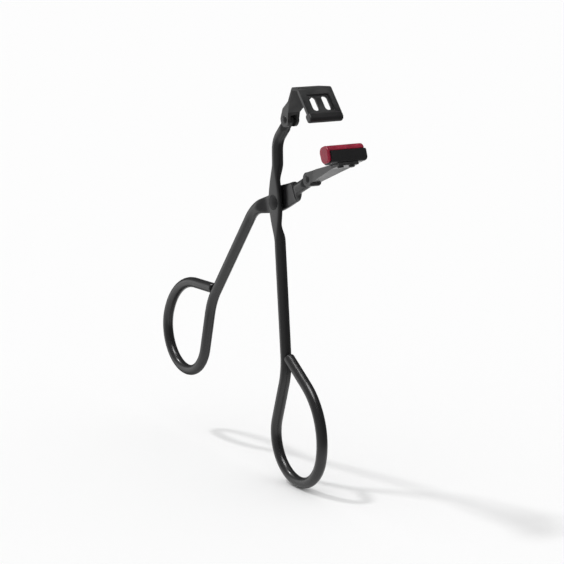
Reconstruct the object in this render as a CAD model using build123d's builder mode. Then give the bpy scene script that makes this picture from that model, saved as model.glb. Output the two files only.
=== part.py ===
"""Eyelash curler with a narrow jaw.

Two bent-wire handles cross at a riveted pivot. The front handle carries the upper jaw,
a folded sheet frame with a pressing bar. The rear handle carries the lower jaw, a trough
with a replaceable rubber pad. Each jaw hangs on its own hinge pin.

Millimetres. The handles lie in the XZ plane, +X points at the jaws, +Z is up and Y is the
direction of every hinge. The origin is the centre of the front finger loop.
"""

import os
from math import cos, radians, sin

from build123d import *

# Place of the pivot, seen from the centre of the front finger loop
PIVOT_X = -10.5
PIVOT_Z = 63.8

# Handle wire, from the pivot down to the end of the finger loop
WIRE_D = 3.0
SHANK_TILT = 5.4
SHANK_LENGTH = 41.6
NECK_RADIUS = 20.3
NECK_TURN = 23.5
NECK_STRAIGHT = 11.2
BOWL_RADIUS = 11.4
BOWL_TURN = 186.0
RETURN_RADIUS = 18.0
RETURN_TURN = 68.0
RETURN_STRAIGHT = 12.0

# The rear loop mirrors the front one about a line that leans and passes beside the pivot
MIRROR_LEAN = 16.45
MIRROR_OFFSET = -3.96

# Arms, measured from the pivot
UPPER_PIN = (5.8, 22.7)
UPPER_ELBOW = (-0.4, 16.4)
UPPER_ELBOW_RADIUS = 6.0
LOWER_PIN = (16.7, 8.3)
REAR_ELBOW = (-11.95, -3.27)
REAR_ELBOW_RADIUS = 12.0
PIVOT_BEND_RADIUS = 30.0

# Flattened blades at the pivot
BLADE_T = 1.5
BLADE_GAP = 0.2
BLADE_R = 2.7
BLADE_REACH = 8.0
FRONT_BLADE_TOP = (-0.2, 8.0)
REAR_BLADE_TAIL = (-7.6, -2.1)
REAR_BLADE_END = (7.4, 3.7)
REAR_BLADE_CROWN = (0.8, 1.9)
BLADE_ZONE_R = 8.3
RIVET_D = 2.0
RUNNING_GAP = 0.05
RIVET_HEAD_R = 2.1
RIVET_HEAD_H = 0.8
WASHER_R = 2.2
WASHER_T = 0.4
RIVET_TAIL_R = 1.6
RIVET_TAIL_H = 0.6

# Arm tips and hinge pins
TONGUE_T = 1.5
EYE_R = 1.4
TIP_ZONE_R = 2.35
PIN_D = 1.2
PIN_HEAD_R = 1.1
PIN_HEAD_H = 0.5
CHEEK_GAP = 1.8
SHEET = 0.8
LOBE_R = 1.9

# Upper jaw, measured from the pivot: outer corners of the folded strip
LEG_FOOT = (6.5, 24.4)
LEG_TOP = (12.9, 32.0)
FACE_TOP = (17.5, 32.2)
FACE_FOOT = (23.4, 25.2)
FOLD_RADIUS = 1.1
JAW_W = 10.2
LEG_TOP_W = 7.8
CHEEK_BEHIND_PIN = 3.8
UPPER_CHEEK = ((4.0, 23.3), (4.9, 25.6), (12.3, 31.6), (13.4, 31.4), (7.9, 24.9), (7.65, 23.0))
WINDOW_PLACE = 0.52
RECESS = 0.3
RECESS_SIZE = (6.8, 5.2)
RECESS_CORNER = 0.6
SLOT_SIZE = (4.4, 1.8)
SLOT_PITCH = 3.7
BAR_CENTRE = (22.45, 25.0)
BAR_SIZE = (2.5, 2.0)
BAR_TILT = -49.8
BAR_ROUND = 0.8
BAR_END_ROUND = 0.4

# Lower jaw: the pad's top centre, measured from the pivot, and its backward tilt
PAD_TOP = (30.5, 18.8)
PAD_TILT = 20.0
TROUGH_DEPTH = 4.2
TROUGH_H = 3.1
TROUGH_FLOOR = 4.7
TROUGH_WALL = 0.6
LIP = 0.4
TROUGH_NEAR = -5.1
TROUGH_FAR = 6.0
PAD_CLEARANCE = 0.06
PAD_CROWN = 3.5
PAD_TAB_T = 0.85
TROUGH_ROUND = 1.1
END_ROUND = 1.0
CROWN_ROUND = 1.2
BRACKET_FOOT = (18.6, 7.7)
BRACKET_TOP_W = 6.0
BRACKET_BACK = 2.4
BRACKET_FRONT = 1.4
CHEEK_BACK = 2.5
CHEEK_RISE = 0.3
TROUGH_RIVET_D = 1.0
TROUGH_RIVET_PITCH = 3.4
TROUGH_RIVET_HEAD_R = 0.85
TROUGH_RIVET_HEAD_H = 0.4
TROUGH_RIVET_TAPER = 25

# Longer than any piece, for blocks that only bound a shape
BEYOND = 50.0

# Plane of the handles with its origin on the pivot axis; its normal points to -Y
SCISSOR = Plane(origin=(PIVOT_X, 0, PIVOT_Z), x_dir=(1, 0, 0), z_dir=(0, -1, 0))

os.makedirs("parts", exist_ok=True)


def mirrored(point):
    """A point of the front handle, carried over to the rear handle."""
    nx = cos(radians(MIRROR_LEAN))
    nz = -sin(radians(MIRROR_LEAN))
    distance = point[0] * nx + point[1] * nz - MIRROR_OFFSET
    return (point[0] - 2 * distance * nx, point[1] - 2 * distance * nz)


def world(point, y=0.0):
    """A point given from the pivot, in the part's frame."""
    return Vector(PIVOT_X + point[0], y, PIVOT_Z + point[1])


def finger_loop(shank, side):
    """Neck, bowl and return of a finger loop, in the open BuildLine."""
    neck = JernArc(shank @ 1, shank % 1, NECK_RADIUS, -side * NECK_TURN)
    flank = Line(neck @ 1, neck @ 1 + (neck % 1) * NECK_STRAIGHT)
    bowl = JernArc(flank @ 1, flank % 1, BOWL_RADIUS, side * BOWL_TURN)
    back = JernArc(bowl @ 1, bowl % 1, RETURN_RADIUS, side * RETURN_TURN)
    Line(back @ 1, back @ 1 + (back % 1) * RETURN_STRAIGHT)


def sweep_wire(line):
    """The round wire along a finished BuildLine, in the open BuildPart."""
    path = line.wires()[0]
    with BuildSketch(Plane(origin=path @ 0, z_dir=path % 0)) as section:
        Circle(WIRE_D / 2)
    sweep(sections=section.sketch, path=path)


def blade(outline, near_side):
    """A flattened blade: the hull of the outline's circles, in the open BuildPart."""
    start = BLADE_GAP / 2 if near_side else -BLADE_GAP / 2 - BLADE_T
    with BuildSketch(SCISSOR.offset(start)) as flat:
        for point, radius in outline:
            with Locations(point):
                Circle(radius)
        make_hull()
    extrude(flat.sketch, amount=BLADE_T)


def clear_for_other_blade(near_side):
    """Room for the other handle's blade, with a sloping shoulder on the wire."""
    sign = -1 if near_side else 1
    with BuildSketch(SCISSOR.offset(-sign * BLADE_GAP / 2)) as narrow:
        Circle(BLADE_ZONE_R)
    with BuildSketch(SCISSOR.offset(sign * WIRE_D)) as wide:
        Circle(BLADE_ZONE_R + WIRE_D)
    loft(sections=(narrow.sketch, wide.sketch), mode=Mode.SUBTRACT)


def flatten_tip(pin):
    """A flat eye at the end of an arm, with sloping shoulders on both sides."""
    with BuildSketch(SCISSOR) as eye:
        with Locations(pin):
            Circle(EYE_R)
    extrude(eye.sketch, amount=TONGUE_T / 2, both=True)
    for sign in (-1, 1):
        with BuildSketch(SCISSOR.offset(sign * TONGUE_T / 2)) as narrow:
            with Locations(pin):
                Circle(TIP_ZONE_R)
        with BuildSketch(SCISSOR.offset(sign * WIRE_D)) as wide:
            with Locations(pin):
                Circle(TIP_ZONE_R + WIRE_D - TONGUE_T / 2)
        loft(sections=(narrow.sketch, wide.sketch), mode=Mode.SUBTRACT)


def cross_hole(point, diameter):
    """A hole along Y through everything in the open BuildPart."""
    with BuildSketch(SCISSOR) as hole:
        with Locations(point):
            Circle(diameter / 2)
    extrude(hole.sketch, amount=2 * WIRE_D, both=True, mode=Mode.SUBTRACT)


def cross_cylinder(point, radius, y_start, y_end):
    """A round bar along Y from one place to another, in the open BuildPart."""
    with BuildSketch(SCISSOR.offset(-y_end)) as round_end:
        with Locations(point):
            Circle(radius)
    extrude(round_end.sketch, amount=y_end - y_start)


def dome(point, radius, height, y_foot, sign):
    """A low domed head that stands on y_foot and points to sign * Y."""
    sphere_r = (radius ** 2 + height ** 2) / (2 * height)
    centre = world(point, y_foot + sign * (height - sphere_r))
    foot = Plane(origin=world(point, y_foot), x_dir=(1, 0, 0), z_dir=(0, sign, 0))
    with BuildPart(mode=Mode.PRIVATE) as head:
        with Locations(centre):
            Sphere(sphere_r)
        split(bisect_by=foot, keep=Keep.TOP)
    add(head.part)


def hinge_pin(point):
    """A pin along Y with a domed head against each cheek."""
    outside = CHEEK_GAP / 2 + SHEET
    with BuildPart() as pin:
        cross_cylinder(point, PIN_D / 2, -outside, outside)
        dome(point, PIN_HEAD_R, PIN_HEAD_H, -outside, -1)
        dome(point, PIN_HEAD_R, PIN_HEAD_H, outside, 1)
    return pin


def plan_outline(stations, inset=0.0):
    """Top-view outline from (x, width) stations, on the open BuildSketch."""
    near = [(PIVOT_X + x, -width / 2 + inset) for x, width in stations]
    far = [(PIVOT_X + x, width / 2 - inset) for x, width in reversed(stations)]
    Polygon(*near, *far, align=None)


def finish(part, name):
    """Label a finished piece and write its STEP file."""
    part.part.label = name
    export_step(part.part, f"parts/{name}.step")


# ---------------------------------------------------------------- handles
shank_end = (SHANK_LENGTH * sin(radians(SHANK_TILT)), -SHANK_LENGTH * cos(radians(SHANK_TILT)))
shank_side = (BLADE_REACH * sin(radians(SHANK_TILT)), -BLADE_REACH * cos(radians(SHANK_TILT)))

with BuildPart() as front_handle:
    with BuildLine(SCISSOR) as front_path:
        front_arm = FilletPolyline(
            UPPER_PIN, UPPER_ELBOW, (0, 0), shank_end, radius=(UPPER_ELBOW_RADIUS, PIVOT_BEND_RADIUS)
        )
        finger_loop(front_arm, 1)
    sweep_wire(front_path)
    blade((((0, 0), BLADE_R), (shank_side, WIRE_D / 2), (FRONT_BLADE_TOP, WIRE_D / 2)), True)
    clear_for_other_blade(True)
    flatten_tip(UPPER_PIN)
    cross_hole((0, 0), RIVET_D)
    cross_hole(UPPER_PIN, PIN_D + 2 * RUNNING_GAP)
finish(front_handle, "front_handle")

rear_blade_outline = (
    ((0, 0), BLADE_R),
    (REAR_BLADE_CROWN, BLADE_R),
    (REAR_BLADE_END, BLADE_R),
    (REAR_BLADE_TAIL, WIRE_D / 2),
)

with BuildPart() as rear_handle:
    with BuildLine(SCISSOR) as rear_path:
        rear_arm = FilletPolyline(
            LOWER_PIN, (0, 0), REAR_ELBOW, mirrored(shank_end),
            radius=(PIVOT_BEND_RADIUS, REAR_ELBOW_RADIUS)
        )
        finger_loop(rear_arm, -1)
    sweep_wire(rear_path)
    blade(rear_blade_outline, False)
    clear_for_other_blade(False)
    flatten_tip(LOWER_PIN)
    cross_hole((0, 0), RIVET_D + 2 * RUNNING_GAP)
    cross_hole(LOWER_PIN, PIN_D + 2 * RUNNING_GAP)
finish(rear_handle, "rear_handle")

# ---------------------------------------------------------------- pivot
blade_outside = BLADE_GAP / 2 + BLADE_T
washer_start = blade_outside + RUNNING_GAP
washer_end = washer_start + WASHER_T

with BuildPart() as pivot_rivet:
    cross_cylinder((0, 0), RIVET_D / 2, -blade_outside, washer_end)
    dome((0, 0), RIVET_HEAD_R, RIVET_HEAD_H, -blade_outside, -1)
    dome((0, 0), RIVET_TAIL_R, RIVET_TAIL_H, washer_end, 1)
finish(pivot_rivet, "pivot_rivet")

with BuildPart() as pivot_washer:
    cross_cylinder((0, 0), WASHER_R, washer_start, washer_end)
    cross_hole((0, 0), RIVET_D)
finish(pivot_washer, "pivot_washer")

# ---------------------------------------------------------------- upper jaw
cheek_w = CHEEK_GAP + 2 * SHEET
upper_stations = (
    (UPPER_PIN[0] - CHEEK_BEHIND_PIN, cheek_w),
    (LEG_FOOT[0] + 1.0, cheek_w),
    (LEG_TOP[0], LEG_TOP_W),
    (FACE_TOP[0], JAW_W),
    (FACE_FOOT[0] + BAR_SIZE[0], JAW_W),
)

with BuildPart() as upper_hollow:
    with BuildSketch(SCISSOR):
        Polygon((1, 20), LEG_FOOT, LEG_TOP, (1, 40), align=None)
        Polygon((1, 20), (9, 20), (LEG_FOOT[0] + 1.2, LEG_FOOT[1]), LEG_FOOT, align=None)
    extrude(amount=JAW_W, both=True)
    with BuildSketch(Plane.XY.offset(PIVOT_Z)):
        plan_outline(upper_stations, inset=SHEET)
    extrude(amount=BEYOND, mode=Mode.INTERSECT)

# The bar is rolled round the lower edge of the face, flush with its outside
with BuildPart() as pressing_bar:
    with BuildSketch(SCISSOR):
        with Locations(Location((BAR_CENTRE[0], BAR_CENTRE[1], 0), BAR_TILT)):
            RectangleRounded(BAR_SIZE[0], BAR_SIZE[1], BAR_ROUND)
    extrude(amount=JAW_W / 2, both=True)
    fillet(pressing_bar.faces().sort_by(Axis.Y)[0].edges(), BAR_END_ROUND)
    fillet(pressing_bar.faces().sort_by(Axis.Y)[-1].edges(), BAR_END_ROUND)
finish(pressing_bar, "pressing_bar")

face_direction = (Vector(*FACE_FOOT) - Vector(*FACE_TOP)).normalized()
face_normal = Vector(-face_direction.Y, 0, face_direction.X)
window_x = FACE_TOP[0] + WINDOW_PLACE * (FACE_FOOT[0] - FACE_TOP[0])
window_z = FACE_TOP[1] + WINDOW_PLACE * (FACE_FOOT[1] - FACE_TOP[1])
face_plane = Plane(origin=world((window_x, window_z)), x_dir=(0, 1, 0), z_dir=face_normal)

with BuildPart() as upper_jaw_frame:
    with BuildSketch(SCISSOR):
        with BuildLine():
            FilletPolyline(LEG_FOOT, LEG_TOP, FACE_TOP, FACE_FOOT, radius=FOLD_RADIUS)
            offset(amount=SHEET, side=Side.RIGHT)
        make_face()
    extrude(amount=JAW_W / 2, both=True)
    with BuildSketch(SCISSOR):
        Polygon(*UPPER_CHEEK, align=None)
        with Locations(UPPER_PIN):
            Circle(LOBE_R)
    extrude(amount=JAW_W / 2, both=True)
    with BuildSketch(Plane.XY.offset(PIVOT_Z)):
        plan_outline(upper_stations)
    extrude(amount=BEYOND, mode=Mode.INTERSECT)
    add(upper_hollow.part, mode=Mode.SUBTRACT)
    with BuildSketch(face_plane):
        RectangleRounded(RECESS_SIZE[0], RECESS_SIZE[1], RECESS_CORNER)
    extrude(amount=-RECESS, mode=Mode.SUBTRACT)
    with BuildSketch(face_plane):
        with GridLocations(SLOT_PITCH, 0, 2, 1):
            SlotOverall(SLOT_SIZE[0], SLOT_SIZE[1], rotation=90)
    extrude(amount=-2 * SHEET, mode=Mode.SUBTRACT)
    add(pressing_bar.part, mode=Mode.SUBTRACT)
    cross_hole(UPPER_PIN, PIN_D)
finish(upper_jaw_frame, "upper_jaw_frame")

upper_hinge_pin = hinge_pin(UPPER_PIN)
finish(upper_hinge_pin, "upper_hinge_pin")

# ---------------------------------------------------------------- lower jaw
# Plane of the pad's section: local x runs forward, local y up, origin at the pad's top
tilt = radians(PAD_TILT)
pad_section = Plane(origin=world(PAD_TOP), x_dir=(cos(tilt), 0, sin(tilt)), z_dir=(0, -1, 0))

cavity_w = TROUGH_DEPTH - 2 * TROUGH_WALL
cavity_h = TROUGH_H - TROUGH_WALL - LIP
cavity_middle = -TROUGH_FLOOR + TROUGH_WALL + cavity_h / 2
mouth_w = cavity_w - 2 * LIP
trough_top = -TROUGH_FLOOR + TROUGH_H
crown_foot = trough_top + PAD_CLEARANCE


def pad_point(along, up):
    """A point of the pad's section, given from the pivot."""
    x = PAD_TOP[0] + along * cos(tilt) - up * sin(tilt)
    z = PAD_TOP[1] + along * sin(tilt) + up * cos(tilt)
    return (x, z)


with BuildPart() as pad_trough:
    with BuildSketch(pad_section.offset(-TROUGH_FAR)) as trough_outline:
        with Locations((0, -TROUGH_FLOOR + TROUGH_H / 2)):
            Rectangle(TROUGH_DEPTH, TROUGH_H)
        fillet(trough_outline.vertices().sort_by(Axis.Y)[:2], TROUGH_ROUND)
    extrude(amount=TROUGH_FAR - TROUGH_NEAR)
    fillet(pad_trough.faces().sort_by(Axis.Y)[-1].edges(), END_ROUND)
    with BuildSketch(pad_section.offset(-TROUGH_FAR + TROUGH_WALL)):
        with Locations((0, cavity_middle)):
            Rectangle(cavity_w, cavity_h)
        with Locations((0, trough_top)):
            Rectangle(mouth_w, 3 * LIP)
    extrude(amount=2 * TROUGH_FAR, mode=Mode.SUBTRACT)

with BuildPart() as rubber_pad:
    with BuildSketch(pad_section.offset(-TROUGH_FAR + TROUGH_WALL + PAD_CLEARANCE)) as pad_outline:
        with Locations((0, cavity_middle)):
            Rectangle(cavity_w - 2 * PAD_CLEARANCE, cavity_h - 2 * PAD_CLEARANCE)
        with Locations((0, trough_top)):
            Rectangle(mouth_w - 2 * PAD_CLEARANCE, 3 * LIP)
        with Locations((0, crown_foot / 2)):
            Rectangle(PAD_CROWN, -crown_foot)
        fillet(pad_outline.vertices().sort_by(Axis.Y)[-2:], CROWN_ROUND)
    extrude(amount=TROUGH_FAR - TROUGH_WALL - TROUGH_NEAR)
    with BuildSketch(pad_section.offset(-TROUGH_NEAR + PAD_CLEARANCE)) as tab_outline:
        with Locations((0, -TROUGH_FLOOR / 2)):
            Rectangle(TROUGH_DEPTH, TROUGH_FLOOR)
        fillet(tab_outline.vertices(), TROUGH_ROUND)
    extrude(amount=PAD_TAB_T)
finish(rubber_pad, "rubber_pad")

# Sheet channel from the hinge pin to the underside of the trough
bracket_bend = pad_point(-BRACKET_BACK, -TROUGH_FLOOR - SHEET)
bracket_end = pad_point(BRACKET_FRONT, -TROUGH_FLOOR - SHEET)
web = (Vector(*bracket_bend) - Vector(*BRACKET_FOOT)).normalized()
web_up = (-web.Y * SHEET, web.X * SHEET)
foot_inside = (BRACKET_FOOT[0] + web_up[0], BRACKET_FOOT[1] + web_up[1])
bend_inside = (bracket_bend[0] + web_up[0], bracket_bend[1] + web_up[1])
cheek_top = pad_point(-CHEEK_BACK, -TROUGH_FLOOR + CHEEK_RISE)
lower_cheek = ((16.0, 10.0), (21.6, 11.7), cheek_top, bend_inside, foot_inside, (18.3, 7.0))
lower_stations = (
    (12.0, cheek_w),
    (BRACKET_FOOT[0] + 1.0, cheek_w),
    (bracket_bend[0], BRACKET_TOP_W),
    (bracket_end[0] + 2.0, BRACKET_TOP_W),
)

with BuildPart() as lower_hollow:
    with BuildSketch(SCISSOR):
        Polygon((10, 2), BRACKET_FOOT, foot_inside, bend_inside, (bend_inside[0], 20), (10, 20), align=None)
    extrude(amount=JAW_W, both=True)
    with BuildSketch(Plane.XY.offset(PIVOT_Z)):
        plan_outline(lower_stations, inset=SHEET)
    extrude(amount=BEYOND, mode=Mode.INTERSECT)

with BuildPart() as lower_bracket:
    with BuildSketch(SCISSOR):
        with BuildLine():
            FilletPolyline(BRACKET_FOOT, bracket_bend, bracket_end, radius=FOLD_RADIUS)
            offset(amount=SHEET, side=Side.LEFT)
        make_face()
    extrude(amount=JAW_W / 2, both=True)
    with BuildSketch(SCISSOR):
        Polygon(*lower_cheek, align=None)
        with Locations(LOWER_PIN):
            Circle(LOBE_R)
    extrude(amount=JAW_W / 2, both=True)
    with BuildSketch(Plane.XY.offset(PIVOT_Z)):
        plan_outline(lower_stations)
    extrude(amount=BEYOND, mode=Mode.INTERSECT)
    add(lower_hollow.part, mode=Mode.SUBTRACT)
    cross_hole(LOWER_PIN, PIN_D)

# Two rivets through the trough's floor and the sheet under it
rivet_plane = Plane(
    origin=world(pad_point(0, -TROUGH_FLOOR + TROUGH_WALL)), x_dir=(0, 1, 0), z_dir=pad_section.y_dir
)
with BuildPart() as trough_rivets:
    with BuildSketch(rivet_plane):
        with GridLocations(TROUGH_RIVET_PITCH, 0, 2, 1):
            Circle(TROUGH_RIVET_D / 2)
    extrude(amount=-TROUGH_WALL - SHEET)
    with BuildSketch(rivet_plane.offset(-TROUGH_WALL - SHEET)):
        with GridLocations(TROUGH_RIVET_PITCH, 0, 2, 1):
            Circle(TROUGH_RIVET_HEAD_R)
    extrude(amount=-TROUGH_RIVET_HEAD_H, taper=TROUGH_RIVET_TAPER)
for pierced in (pad_trough, lower_bracket):
    with pierced:
        add(trough_rivets.part, mode=Mode.SUBTRACT)

finish(pad_trough, "pad_trough")
finish(lower_bracket, "lower_bracket")
finish(trough_rivets, "trough_rivets")

lower_hinge_pin = hinge_pin(LOWER_PIN)
finish(lower_hinge_pin, "lower_hinge_pin")
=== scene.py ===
"""Eyelash curler: lacquered wire handles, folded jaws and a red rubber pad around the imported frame.

Metres, in the part's own frame. Shapes are written in millimetres from the pivot, as (x, z) in the
plane of the handles, and y across it.
"""

from math import atan2, cos, hypot, pi, radians, sin, sqrt, tan

import bmesh
import bpy
from mathutils import Matrix, Vector


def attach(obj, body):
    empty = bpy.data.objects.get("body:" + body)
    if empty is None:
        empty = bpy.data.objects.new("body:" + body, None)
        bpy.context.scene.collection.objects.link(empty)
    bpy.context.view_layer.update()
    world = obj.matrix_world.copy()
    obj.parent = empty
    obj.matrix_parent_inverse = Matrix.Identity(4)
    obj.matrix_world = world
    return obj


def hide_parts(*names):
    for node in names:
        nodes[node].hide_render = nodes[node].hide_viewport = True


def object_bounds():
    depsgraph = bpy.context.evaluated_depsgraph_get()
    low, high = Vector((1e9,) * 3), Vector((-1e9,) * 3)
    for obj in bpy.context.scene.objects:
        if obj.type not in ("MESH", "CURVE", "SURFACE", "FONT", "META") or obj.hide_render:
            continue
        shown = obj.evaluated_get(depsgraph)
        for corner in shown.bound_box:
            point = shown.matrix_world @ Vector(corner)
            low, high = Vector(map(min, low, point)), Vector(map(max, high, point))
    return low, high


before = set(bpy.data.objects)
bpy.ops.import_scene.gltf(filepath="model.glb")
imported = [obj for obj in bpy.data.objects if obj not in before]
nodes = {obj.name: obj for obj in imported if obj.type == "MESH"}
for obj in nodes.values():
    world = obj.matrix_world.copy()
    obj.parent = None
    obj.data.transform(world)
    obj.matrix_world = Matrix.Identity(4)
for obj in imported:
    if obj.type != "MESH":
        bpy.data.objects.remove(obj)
cad_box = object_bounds()

MM = 0.001
PIVOT = (-10.5, 63.8)

# Studio, in metres. A name without a suffix is a direction, LEVEL is how bright the lacquer sees
# it, and SPAN is the two cosines to it between which that changes. BRIGHT and DARK are distances
# from a spot of the floor, up to which and from which glossy rays see its paper white and
# painted dark, as painted reflections in the lacquer
KEY_POWER = 0.75
KEY_ANGLE = 5
KEY_FROM = (-0.47, -0.35, 1.0)
FILL = 0.85
FRONT = (0.84, -0.54, 0.0)
LEFT = (-0.54, -0.84, 0.0)
PANEL = (-0.84, -0.54, 0.0)
PANEL_SPAN = (0.88, 0.97)
PANEL_LEVEL = 0.84
SIDE_SPAN = (-0.8, 0.8)
RIGHT_LEVEL = 0.14
LEFT_LEVEL = 0.46
BEHIND_SPAN = (-0.75, -0.5)
BEHIND_SHARE = 0.3
OVERHEAD = (0.26, -0.09, 0.96)
OVERHEAD_SPAN = (0.95, 0.985)
OVERHEAD_LEVEL = 11.0
FLOOR_HALF = 6.0
FLOOR_CELLS = 8
FLOOR_BRIGHT = 0.03
FLOOR_DARK = 0.08
# A painted sheen: a spot of floor that glossy rays see white, for the lacquer's undersides
SHEEN_SPOT = (-0.14, 0.10, 0.0)
SHEEN_BRIGHT = 0.06
SHEEN_DARK = 0.1

# Camera, in metres and degrees
CAMERA_AT = (0.41553, -0.26531, 0.14624)
CAMERA_DOWN = 11.74
CAMERA_TURN = 57.97
SENSOR = 36.0
LENS = 121.376
CLIP = (0.01, 30)

# Handle wire. Pins, elbows and ends are centres. CUT is the wire's end at the finger loop
WIRE_R = 1.5
SHANK_END = (3.915, -41.415)
LOOP = (
    ("arc", 20.3, -23.5), ("run", 11.2), ("arc", 11.4, 186.0), ("arc", 18.0, 68.0), ("run", 10.5),
)
UPPER_PIN = (5.8, 22.7)
UPPER_ELBOW = (-0.4, 16.4)
LOWER_PIN = (16.7, 8.3)
REAR_ELBOW = (-11.95, -3.27)
FRONT_RADII = (6.0, 30.0)
REAR_RADII = (30.0, 12.0)
MIRROR_LEAN = 16.45
MIRROR_OFFSET = -3.96
RING = 32
STEP = 0.4
CUT_ROUND = 0.45
CUT_STATIONS = (0.42, 0.33, 0.2, 0.1, 0.04, 0.0)
CUT_CLEAR = 0.5

# Pad section: along and up from the middle of its top. A name in _R is the radius of a corner
PAD_TOP = (30.5, 18.8)
PAD_TILT = 20.0
PAD_CAVITY = 2.88
PAD_NECK = 2.08
PAD_CROWN = 3.5
PAD_TOP_UP = -0.02
RAIL_FOOT = -4.04
RAIL_TOP = -2.06
CROWN_FOOT = -1.54
PAD_NEAR_FACE = -5.3
PAD_FAR_FACE = 5.33
TAB_FACE = -6.0
TAB_BACK = -5.16
FOOT_R = 0.35
RAIL_R = 0.12
NECK_R = 0.1
CROWN_FOOT_R = 0.3
CROWN_R = 1.35
PAD_END_R = 0.45
TAB_FOOT = (1.75, -4.4)
TAB_TOP = (2.02, -0.03)
TAB_MIDDLE = (0, -2.2)
TAB_FOOT_R = 1.3
TAB_TOP_R = 1.5
TAB_END_R = 0.4
TAB_STEPS = 11
END_INSET = 0.9
END_STEPS = 5
LENGTH_STEPS = 12
PAD_VOXEL = 0.085
PAD_SMOOTHING = 0.5
PAD_PASSES = 4

# Flattened blades and arm tips, as half sizes. Spans are distances over which the shape changes
BLADE_W = 2.7
BLADE_T = 0.75
BLADE_Y = 0.85
BLADE_SPAN = (5.5, 10.5)
FRONT_TAPER = (1.0, 8.5)
REAR_TAPER = (1.0, 15.0)
PLATE_TO = 8.2
PLATE_SPAN = (8.0, 11.5)
CROWN_HEIGHT = 1.3
CROWN_ARM_SPAN = (0.5, 9.5)
CROWN_TAIL_SPAN = (0.0, 3.0)
ROUND = 2.0
SQUARE = 4.5
ARM_LENGTH = 30
EYE_R = 1.4
TIP_SPAN = (2.0, 3.8)
TIP_WIDTH = 0.12
TIP_THIN = 0.8
TIP_THIN_TO = 0.5
RIVET_R = 1.0
PIN_R = 0.6
RUNNING_GAP = 0.05
HOLE_SIDES = 40
DRILL_LENGTH = 8

# Sheet pieces, pins and rivets: how far each one's sharp edges are eased
EASED_EDGES = (
    ("upper_jaw_frame", 0.14), ("pressing_bar", 0.1), ("lower_bracket", 0.14), ("pad_trough", 0.12),
    ("upper_hinge_pin", 0.06), ("lower_hinge_pin", 0.06), ("pivot_rivet", 0.08),
    ("pivot_washer", 0.08), ("trough_rivets", 0.05),
)
EASE_ANGLE = 25
EASE_SEGMENTS = 3
WELD_GAP = 0.002
FLAT_ANGLE = 1.0


# ---------------------------------------------------------------- small helpers
def smooth(value, low, high):
    """0 below low, 1 above high, and a smooth step between them."""
    t = min(1.0, max(0.0, (value - low) / (high - low)))
    return t * t * (3 - 2 * t)


def mix(a, b, t):
    return a + (b - a) * t


def at(x, z, y=0.0):
    """A point given from the pivot in millimetres, in the part's frame in metres."""
    return Vector((PIVOT[0] + x, y, PIVOT[1] + z)) * MM


def mirrored(point):
    """A point of the front handle, carried over to the rear handle."""
    nx, nz = cos(radians(MIRROR_LEAN)), -sin(radians(MIRROR_LEAN))
    distance = point[0] * nx + point[1] * nz - MIRROR_OFFSET
    return (point[0] - 2 * distance * nx, point[1] - 2 * distance * nz)


def new_object(name, bm, body, material):
    """A finished mesh as a piece that rides on a body."""
    bmesh.ops.recalc_face_normals(bm, faces=bm.faces)
    mesh = bpy.data.meshes.new(name)
    bm.to_mesh(mesh)
    bm.free()
    mesh.shade_smooth()
    obj = bpy.data.objects.new(name, mesh)
    bpy.context.scene.collection.objects.link(obj)
    obj.data.materials.append(material)
    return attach(obj, body)


# ---------------------------------------------------------------- materials
# Places of the colour sockets on a Mix node, which names its sockets alike for every data type
COLOUR_A, COLOUR_B, COLOUR_RESULT = 6, 7, 2


def nodes_of(material):
    material.use_nodes = True
    tree = material.node_tree
    tree.nodes.clear()
    out = tree.nodes.new("ShaderNodeOutputMaterial")
    shader = tree.nodes.new("ShaderNodeBsdfPrincipled")
    tree.links.new(shader.outputs["BSDF"], out.inputs["Surface"])
    return tree, shader


def noise_node(tree, coords, scale, detail=3.0, roughness=0.5):
    node = tree.nodes.new("ShaderNodeTexNoise")
    node.inputs["Scale"].default_value = scale
    node.inputs["Detail"].default_value = detail
    node.inputs["Roughness"].default_value = roughness
    tree.links.new(coords, node.inputs["Vector"])
    return node.outputs["Fac"]


def map_range(tree, value, from_low, from_high, to_low, to_high):
    node = tree.nodes.new("ShaderNodeMapRange")
    node.inputs["From Min"].default_value = from_low
    node.inputs["From Max"].default_value = from_high
    node.inputs["To Min"].default_value = to_low
    node.inputs["To Max"].default_value = to_high
    tree.links.new(value, node.inputs["Value"])
    return node.outputs["Result"]


def combine(tree, operation, a, b):
    """Two values added or multiplied."""
    node = tree.nodes.new("ShaderNodeMath")
    node.operation = operation
    for socket, value in zip(node.inputs, (a, b)):
        tree.links.new(value, socket)
    return node.outputs["Value"]


def mix_colour(tree, factor, a, b):
    """From a to b by factor. Each is a colour, or a socket that gives one."""
    node = tree.nodes.new("ShaderNodeMix")
    node.data_type = "RGBA"
    tree.links.new(factor, node.inputs["Factor"])
    for socket, value in zip((COLOUR_A, COLOUR_B), (a, b)):
        if isinstance(value, tuple):
            node.inputs[socket].default_value = (*value, 1)
        else:
            tree.links.new(value, node.inputs[socket])
    return node.outputs[COLOUR_RESULT]


def bump(tree, shader, height, strength, distance, below=None):
    node = tree.nodes.new("ShaderNodeBump")
    node.inputs["Strength"].default_value = strength
    node.inputs["Distance"].default_value = distance
    tree.links.new(height, node.inputs["Height"])
    if below is not None:
        tree.links.new(below, node.inputs["Normal"])
    tree.links.new(node.outputs["Normal"], shader.inputs["Normal"])
    return node.outputs["Normal"]


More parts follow.
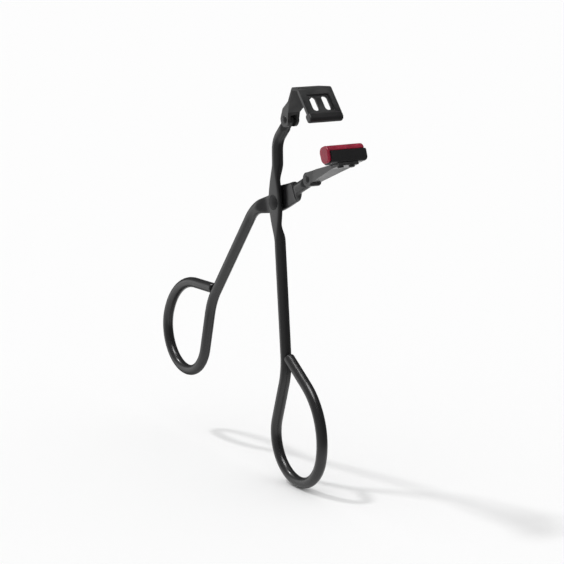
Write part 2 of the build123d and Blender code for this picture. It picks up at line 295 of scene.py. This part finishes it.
def lacquer(name, colour, worn, rough, coat):
    """Black lacquer on steel: faint orange peel, cloudy gloss, paler where it thins over edges.

    worn is the colour over edges, and rough the least and the most roughness.
    """
    material = bpy.data.materials.new(name)
    tree, shader = nodes_of(material)
    coords = tree.nodes.new("ShaderNodeTexCoord").outputs["Object"]
    clouds = noise_node(tree, coords, 160, 4)
    grain = noise_node(tree, coords, 1800, 2)
    pits = noise_node(tree, coords, 5200, 1)
    pointiness = tree.nodes.new("ShaderNodeNewGeometry").outputs["Pointiness"]
    edge = map_range(tree, pointiness, 0.53, 0.62, 0, 1)
    broken = combine(tree, "MULTIPLY", edge, map_range(tree, clouds, 0.35, 0.65, 0.2, 1.0))
    lighter = tuple(1.35 * c for c in colour)
    base = mix_colour(tree, map_range(tree, grain, 0.3, 0.7, 0, 1), colour, lighter)
    tree.links.new(mix_colour(tree, broken, base, worn), shader.inputs["Base Color"])
    tree.links.new(map_range(tree, clouds, 0.3, 0.7, *rough), shader.inputs["Roughness"])
    shader.inputs["Specular IOR Level"].default_value = 0.5
    shader.inputs["Coat Weight"].default_value = coat
    shader.inputs["Coat Roughness"].default_value = 0.12
    peel = bump(tree, shader, grain, 0.25, 0.00003)
    bump(tree, shader, pits, 0.12, 0.00001, peel)
    return material


def red_rubber():
    """Red silicone: soft sheen, faint mould texture, a little light inside it."""
    material = bpy.data.materials.new("red_silicone")
    tree, shader = nodes_of(material)
    coords = tree.nodes.new("ShaderNodeTexCoord").outputs["Object"]
    clouds = noise_node(tree, coords, 420, 4)
    grain = noise_node(tree, coords, 3600, 3)
    patches = map_range(tree, clouds, 0.3, 0.7, 0, 1)
    colour = mix_colour(tree, patches, (0.21, 0.004, 0.022), (0.31, 0.009, 0.036))
    tree.links.new(colour, shader.inputs["Base Color"])
    tree.links.new(map_range(tree, clouds, 0.3, 0.7, 0.26, 0.42), shader.inputs["Roughness"])
    shader.inputs["Subsurface Weight"].default_value = 0.15
    shader.inputs["Subsurface Radius"].default_value = (0.0012, 0.0003, 0.0002)
    shader.inputs["Subsurface Scale"].default_value = 1.0
    bump(tree, shader, grain, 0.3, 0.00003)
    return material


def facing(tree, direction, axis, low, high, dim, bright):
    """A level that rises from dim to bright as a direction turns towards an axis."""
    node = tree.nodes.new("ShaderNodeVectorMath")
    node.operation = "DOT_PRODUCT"
    node.inputs[1].default_value = axis
    tree.links.new(direction, node.inputs[0])
    return map_range(tree, node.outputs["Value"], low, high, dim, bright)


def studio_level(tree, direction):
    """What the lacquer reflects from a direction.

    It is dimmer on the right and behind the object, and PANEL is the side of a bright panel.
    """
    across = facing(tree, direction, LEFT, *SIDE_SPAN, RIGHT_LEVEL, LEFT_LEVEL)
    ahead = facing(tree, direction, FRONT, *BEHIND_SPAN, BEHIND_SHARE, 1)
    panel = facing(tree, direction, PANEL, *PANEL_SPAN, 0, PANEL_LEVEL)
    return combine(tree, "ADD", combine(tree, "MULTIPLY", across, ahead), panel)


def pale_floor():
    """White paper, as the camera sees it. Glossy rays see its colour painted dark, a painted
    reflection, except near the object, at SHEEN_SPOT and on the studio's bright side.
    """
    material = bpy.data.materials.new("pale_floor")
    tree, shader = nodes_of(material)
    coords = tree.nodes.new("ShaderNodeTexCoord").outputs["Object"]
    unit = tree.nodes.new("ShaderNodeVectorMath")
    unit.operation = "NORMALIZE"
    tree.links.new(coords, unit.inputs[0])
    painted_dark_reflection = map_range(tree, studio_level(tree, unit.outputs["Vector"]), 0, 1, 1, 0)
    # Painted reflection: around each spot the paper stays white in the lacquer, beyond it is painted
    # dark
    for spot, bright, dark in (
        ((0, 0, 0), FLOOR_BRIGHT, FLOOR_DARK), (SHEEN_SPOT, SHEEN_BRIGHT, SHEEN_DARK),
    ):
        away = tree.nodes.new("ShaderNodeVectorMath")
        away.operation = "DISTANCE"
        tree.links.new(coords, away.inputs[0])
        away.inputs[1].default_value = spot
        beyond = map_range(tree, away.outputs["Value"], bright, dark, 0, 1)
        painted_dark_reflection = combine(tree, "MULTIPLY", painted_dark_reflection, beyond)
    # Only glossy rays see the painted dark; the camera sees the paper white
    glossy = tree.nodes.new("ShaderNodeLightPath").outputs["Is Glossy Ray"]
    painted_dark_reflection = combine(tree, "MULTIPLY", painted_dark_reflection, glossy)
    paper_with_painted_reflection = mix_colour(tree, painted_dark_reflection, (0.93, 0.93, 0.93), (0.02, 0.02, 0.02))
    tree.links.new(paper_with_painted_reflection, shader.inputs["Base Color"])
    shader.inputs["Roughness"].default_value = 0.9
    shader.inputs["Specular IOR Level"].default_value = 0.0
    return material


black = lacquer(
    "black_lacquer", colour=(0.005, 0.005, 0.0055), worn=(0.014, 0.014, 0.015),
    rough=(0.24, 0.36), coat=0.2,
)
black_metal = lacquer(
    "black_lacquer_sheet", colour=(0.006, 0.006, 0.0065), worn=(0.035, 0.035, 0.035),
    rough=(0.28, 0.40), coat=0.2,
)
black_rivet = lacquer(
    "black_lacquer_rivet", colour=(0.004, 0.004, 0.0045), worn=(0.02, 0.02, 0.02),
    rough=(0.5, 0.62), coat=0.0,
)
red = red_rubber()


# ---------------------------------------------------------------- handles
def turn_between(u, v):
    return atan2(u[0] * v[1] - u[1] * v[0], u[0] * v[0] + u[1] * v[1])


def rounded_moves(points, radii):
    """A polyline with rounded corners as runs and arcs, and the heading it starts with."""
    moves, cut = [], 0.0
    for i, radius in enumerate(radii, 1):
        before = (points[i][0] - points[i - 1][0], points[i][1] - points[i - 1][1])
        after = (points[i + 1][0] - points[i][0], points[i + 1][1] - points[i][1])
        turn = turn_between(before, after)
        tangent = radius * tan(abs(turn) / 2)
        moves.append(("run", hypot(*before) - cut - tangent))
        moves.append(("arc", radius, turn * 180 / pi))
        cut = tangent
    moves.append(("run", hypot(*after) - cut))
    first = (points[1][0] - points[0][0], points[1][1] - points[0][1])
    return moves, atan2(first[1], first[0])


def walk(start, heading, moves, lead):
    """Stations (distance, x, z, heading) about STEP apart, from lead before start."""
    x, z = start[0] - lead * cos(heading), start[1] - lead * sin(heading)
    stations, travelled = [(0.0, x, z, heading)], 0.0
    for move in [("run", lead)] + list(moves):
        length = move[1] if move[0] == "run" else move[1] * radians(abs(move[2]))
        bend = 0.0 if move[0] == "run" else radians(move[2]) / length
        count = max(2, round(length / STEP))
        for _ in range(count):
            part = length / count
            heading += bend * part / 2
            chord = part if not bend else 2 * sin(bend * part / 2) / bend
            x, z = x + chord * cos(heading), z + chord * sin(heading)
            heading += bend * part / 2
            travelled += part
            stations.append((travelled, x, z, heading))
    return stations


def ring(bm, x, z, heading, widths, thick, y, square):
    """A rounded section across the path: half widths in the plane, half thickness across it."""
    verts = []
    for k in range(RING):
        a = 2 * pi * k / RING
        c, s = cos(a), sin(a)
        across = (widths[0] if c >= 0 else -widths[1]) * (abs(c) ** (2 / square))
        up = thick * (abs(s) ** (2 / square)) * (1 if s >= 0 else -1)
        verts.append(bm.verts.new(at(x - across * sin(heading), z + across * cos(heading), y + up)))
    return verts


def tube(bm, rings):
    """Skin through rings of RING points, closed by a face at both ends."""
    for a, b in zip(rings, rings[1:]):
        for k in range(RING):
            bm.faces.new((a[k], a[(k + 1) % RING], b[(k + 1) % RING], b[k]))
    bm.faces.new(rings[0])
    bm.faces.new(rings[-1])


def handle_section(station, total, side, wide_to):
    """Two half widths, half thickness, y and squareness of the handle at a station.

    The wire is round, flattened to a blade at the pivot and to an eye at the arm's tip, and its
    far end is cut square with a small round over. side is the blade's side of the plane. wide_to
    is how far along the arm the blade keeps its full width before its round end, if it has one.
    """
    s, x, z, _ = station
    d = hypot(x, z)
    on_arm = s < ARM_LENGTH and (x > 0 if side > 0 else z > 0)
    crown = 0.0
    if on_arm and wide_to:
        flat = 1 - smooth(d, *PLATE_SPAN)
        past = max(0.0, d - wide_to)
        width = max(WIRE_R, sqrt(max(0.0, BLADE_W ** 2 - past ** 2)))
        crown = CROWN_HEIGHT * (1 - smooth(d, *CROWN_ARM_SPAN))
    else:
        flat = 1 - smooth(d, *BLADE_SPAN)
        taper = FRONT_TAPER if side < 0 else REAR_TAPER
        width = mix(WIRE_R, BLADE_W, 1 - smooth(d, *taper))
        if side > 0:
            crown = CROWN_HEIGHT * (1 - smooth(d, *CROWN_TAIL_SPAN))
    thick = mix(WIRE_R, BLADE_T, flat)
    y = side * BLADE_Y * flat
    square = mix(ROUND, SQUARE, flat)
    from_pin = s - EYE_R
    tip = 1 - smooth(from_pin, *TIP_SPAN)
    width = mix(width, EYE_R, tip)
    thick = mix(thick, BLADE_T, tip)
    square = mix(square, SQUARE, tip)
    if from_pin < 0:
        width = max(TIP_WIDTH, sqrt(max(0.0, EYE_R ** 2 - from_pin ** 2)))
        thick *= mix(TIP_THIN, 1.0, smooth(s, 0, TIP_THIN_TO))
    left = total - s
    if left < CUT_ROUND:
        inset = (CUT_ROUND - left) / CUT_ROUND
        shrink = sqrt(max(0.0, 1 - inset ** 2)) * CUT_ROUND - CUT_ROUND
        width, thick = width + shrink, thick + shrink
    return (width, width + crown), thick, y, square


def drilled(bm, holes):
    """The mesh with round holes across it. Each hole is ((x, z), radius)."""
    mesh = bpy.data.meshes.new("blank")
    bmesh.ops.recalc_face_normals(bm, faces=bm.faces)
    bm.to_mesh(mesh)
    bm.free()
    blank = bpy.data.objects.new("blank", mesh)
    bpy.context.scene.collection.objects.link(blank)
    cutters = []
    for point, radius in holes:
        cutter_bm = bmesh.new()
        turned = Matrix.Translation(at(*point)) @ Matrix.Rotation(pi / 2, 4, "X")
        bmesh.ops.create_cone(
            cutter_bm, cap_ends=True, segments=HOLE_SIDES, radius1=radius * MM,
            radius2=radius * MM, depth=DRILL_LENGTH * MM, matrix=turned,
        )
        cutter_mesh = bpy.data.meshes.new("cutter")
        cutter_bm.to_mesh(cutter_mesh)
        cutter_bm.free()
        cutter = bpy.data.objects.new("cutter", cutter_mesh)
        bpy.context.scene.collection.objects.link(cutter)
        cut = blank.modifiers.new("hole", "BOOLEAN")
        cut.object, cut.operation, cut.solver = cutter, "DIFFERENCE", "EXACT"
        cutters.append(cutter)
    result = bmesh.new()
    bpy.context.view_layer.update()
    depsgraph = bpy.context.evaluated_depsgraph_get()
    result.from_mesh(blank.evaluated_get(depsgraph).to_mesh())
    for obj in [blank, *cutters]:
        bpy.data.objects.remove(obj)
    return result


def handle(node, points, radii, loop_side, side, wide_to, holes, body):
    """A handle swept from its arm's tip, through the pivot and the shank, round its finger loop.

    loop_side is the way that the loop turns. side and wide_to are those of handle_section.
    """
    moves, heading = rounded_moves(points, radii)
    for move in LOOP:
        moves.append(move if move[0] == "run" else ("arc", move[1], move[2] * loop_side))
    stations = walk(points[0], heading, moves, EYE_R)
    total, x, z, end_heading = stations[-1]
    fine = [s for s in stations if s[0] < total - CUT_CLEAR]
    for back in CUT_STATIONS:
        behind = (x - back * cos(end_heading), z - back * sin(end_heading))
        fine.append((total - back, *behind, end_heading))
    bm = bmesh.new()
    rings = []
    for station in fine:
        rings.append(ring(bm, *station[1:], *handle_section(station, total, side, wide_to)))
    tube(bm, rings)
    bm = drilled(bm, holes)
    obj = new_object(node + "_wire", bm, body, black)
    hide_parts(node)


handle(
    "front_handle", (UPPER_PIN, UPPER_ELBOW, (0, 0), SHANK_END), FRONT_RADII,
    loop_side=1, side=-1, wide_to=None, body="front",
    holes=(((0, 0), RIVET_R), (UPPER_PIN, PIN_R + RUNNING_GAP)),
)
handle(
    "rear_handle", (LOWER_PIN, (0, 0), REAR_ELBOW, mirrored(SHANK_END)), REAR_RADII,
    loop_side=-1, side=1, wide_to=PLATE_TO, body="rear",
    holes=(((0, 0), RIVET_R + RUNNING_GAP), (LOWER_PIN, PIN_R + RUNNING_GAP)),
)


# ---------------------------------------------------------------- sheet pieces, pins and rivets
def dress(node, material, edge):
    """A CAD node kept as it is, with its sharp edges eased and a material."""
    obj = nodes[node]
    obj.data.materials.clear()
    obj.data.materials.append(material)
    weld = obj.modifiers.new("weld", "WELD")
    weld.merge_threshold = WELD_GAP * MM
    flat = obj.modifiers.new("flat", "DECIMATE")
    flat.decimate_type = "DISSOLVE"
    flat.angle_limit = radians(FLAT_ANGLE)
    ease = obj.modifiers.new("ease", "BEVEL")
    ease.width, ease.segments = edge * MM, EASE_SEGMENTS
    ease.limit_method, ease.angle_limit = "ANGLE", radians(EASE_ANGLE)
    ease.harden_normals = True


for node, edge in EASED_EDGES:
    dress(node, black_rivet if node == "pivot_rivet" else black_metal, edge)


# ---------------------------------------------------------------- rubber pad
def rounded_outline(corners, radii, steps=7):
    """A closed outline through the corners, each rounded by its radius."""
    outline = []
    count = len(corners)
    for i, (corner, radius) in enumerate(zip(corners, radii)):
        before, after = Vector(corners[i - 1]), Vector(corners[(i + 1) % count])
        corner = Vector(corner)
        u, v = (before - corner).normalized(), (after - corner).normalized()
        half = u.angle(v) / 2
        reach = radius / tan(half)
        middle = corner + (u + v).normalized() * (radius / sin(half))
        spoke, last = corner + u * reach - middle, corner + v * reach - middle
        for k in range(steps + 1):
            outline.append(middle + radius * spoke.slerp(last, k / steps))
    return outline


def pad_at(along, up, y):
    """A point of the pad's section, in the part's frame."""
    tilt = radians(PAD_TILT)
    x = PAD_TOP[0] + along * cos(tilt) - up * sin(tilt)
    z = PAD_TOP[1] + along * sin(tilt) + up * cos(tilt)
    return at(x, z, y)


def loft(bm, outlines):
    """Skin through outlines of equal count, closed by a face at both ends."""
    rings = [[bm.verts.new(point) for point in outline] for outline in outlines]
    count = len(rings[0])
    for a, b in zip(rings, rings[1:]):
        for k in range(count):
            bm.faces.new((a[k], a[(k + 1) % count], b[(k + 1) % count], b[k]))
    bm.faces.new(rings[0])
    bm.faces.new(rings[-1])


def scaled(outline, centre, factor):
    return [centre + (point - centre) * factor for point in outline]


def end_rounded(outline, centre, y_from, y_to, radius, inset):
    """Pairs of outline and y along a strip whose two ends round over and draw in by inset."""
    size = max((point - centre).length for point in outline)
    start = []
    for k in range(END_STEPS, -1, -1):
        a = pi / 2 * k / END_STEPS
        start.append((radius * (1 - sin(a)), 1 - inset * radius / size * (1 - cos(a))))
    length = y_to - y_from
    middle = [
        (radius + (length - 2 * radius) * k / LENGTH_STEPS, 1.0) for k in range(1, LENGTH_STEPS)
    ]
    end = [(length - y, factor) for y, factor in reversed(start)]
    return [(scaled(outline, centre, factor), y_from + y) for y, factor in start + middle + end]


inner = PAD_CAVITY / 2
neck = PAD_NECK / 2
crown = PAD_CROWN / 2
profile = rounded_outline(
    (
        (-inner, RAIL_FOOT), (inner, RAIL_FOOT), (inner, RAIL_TOP), (neck, RAIL_TOP),
        (neck, CROWN_FOOT), (crown, CROWN_FOOT), (crown, PAD_TOP_UP), (-crown, PAD_TOP_UP),
        (-crown, CROWN_FOOT), (-neck, CROWN_FOOT), (-neck, RAIL_TOP), (-inner, RAIL_TOP),
    ),
    (
        FOOT_R, FOOT_R, RAIL_R, NECK_R, NECK_R, CROWN_FOOT_R,
        CROWN_R, CROWN_R, CROWN_FOOT_R, NECK_R, NECK_R, RAIL_R,
    ),
)
pad_bm = bmesh.new()
strip = end_rounded(
    profile, Vector((0, CROWN_FOOT)), PAD_NEAR_FACE, PAD_FAR_FACE, PAD_END_R, END_INSET
)
loft(pad_bm, [[pad_at(p.x, p.y, y) for p in outline] for outline, y in strip])
tab = rounded_outline(
    ((-TAB_FOOT[0], TAB_FOOT[1]), TAB_FOOT, TAB_TOP, (-TAB_TOP[0], TAB_TOP[1])),
    (TAB_FOOT_R, TAB_FOOT_R, TAB_TOP_R, TAB_TOP_R), TAB_STEPS,
)
pillow = end_rounded(tab, Vector(TAB_MIDDLE), TAB_FACE, TAB_BACK, TAB_END_R, END_INSET)
loft(pad_bm, [[pad_at(p.x, p.y, y) for p in outline] for outline, y in pillow])
pad = new_object("rubber_pad_moulding", pad_bm, "pad", red)
union = pad.modifiers.new("one_skin", "REMESH")
union.mode, union.voxel_size = "VOXEL", PAD_VOXEL * MM
union.use_smooth_shade = True
ease = pad.modifiers.new("ease", "SMOOTH")
ease.factor, ease.iterations = PAD_SMOOTHING, PAD_PASSES
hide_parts("rubber_pad")


# ---------------------------------------------------------------- floor, light and camera
bm = bmesh.new()
bmesh.ops.create_grid(bm, x_segments=FLOOR_CELLS, y_segments=FLOOR_CELLS, size=FLOOR_HALF)
floor_mesh = bpy.data.meshes.new("floor")
bm.to_mesh(floor_mesh)
bm.free()
floor = bpy.data.objects.new("floor", floor_mesh)
floor.location = (0, 0, cad_box[0].z)
floor.data.materials.append(pale_floor())
bpy.context.scene.collection.objects.link(floor)

sun_data = bpy.data.lights.new("key", "SUN")
sun_data.energy, sun_data.angle = KEY_POWER, radians(KEY_ANGLE)
sun = bpy.data.objects.new("key", sun_data)
sun.rotation_euler = Vector(KEY_FROM).to_track_quat("Z", "Y").to_euler()
bpy.context.scene.collection.objects.link(sun)

# The studio lights the floor evenly; what reflects in the lacquer is brighter on one side
world = bpy.data.worlds.new("studio")
bpy.context.scene.world = world
world.use_nodes = True
tree = world.node_tree
even = tree.nodes["Background"]
even.inputs["Color"].default_value = (1, 1, 1, 1)
even.inputs["Strength"].default_value = FILL
sided = tree.nodes.new("ShaderNodeBackground")
direction = tree.nodes.new("ShaderNodeTexCoord").outputs["Generated"]
softbox = facing(tree, direction, OVERHEAD, *OVERHEAD_SPAN, 0, OVERHEAD_LEVEL)
reflected = combine(tree, "ADD", studio_level(tree, direction), softbox)
tree.links.new(reflected, sided.inputs["Color"])
chosen = tree.nodes.new("ShaderNodeMixShader")
glossy = tree.nodes.new("ShaderNodeLightPath").outputs["Is Glossy Ray"]
tree.links.new(glossy, chosen.inputs["Fac"])
tree.links.new(even.outputs["Background"], chosen.inputs[1])
tree.links.new(sided.outputs["Background"], chosen.inputs[2])
tree.links.new(chosen.outputs["Shader"], tree.nodes["World Output"].inputs["Surface"])

camera_data = bpy.data.cameras.new("camera")
camera_data.sensor_width = SENSOR
camera_data.lens = LENS
camera_data.clip_start, camera_data.clip_end = CLIP
camera = bpy.data.objects.new("camera", camera_data)
camera.location = CAMERA_AT
camera.rotation_euler = (radians(90 - CAMERA_DOWN), 0, radians(CAMERA_TURN))
bpy.context.scene.collection.objects.link(camera)
bpy.context.scene.camera = camera
bpy.context.scene.view_settings.view_transform = "Standard"
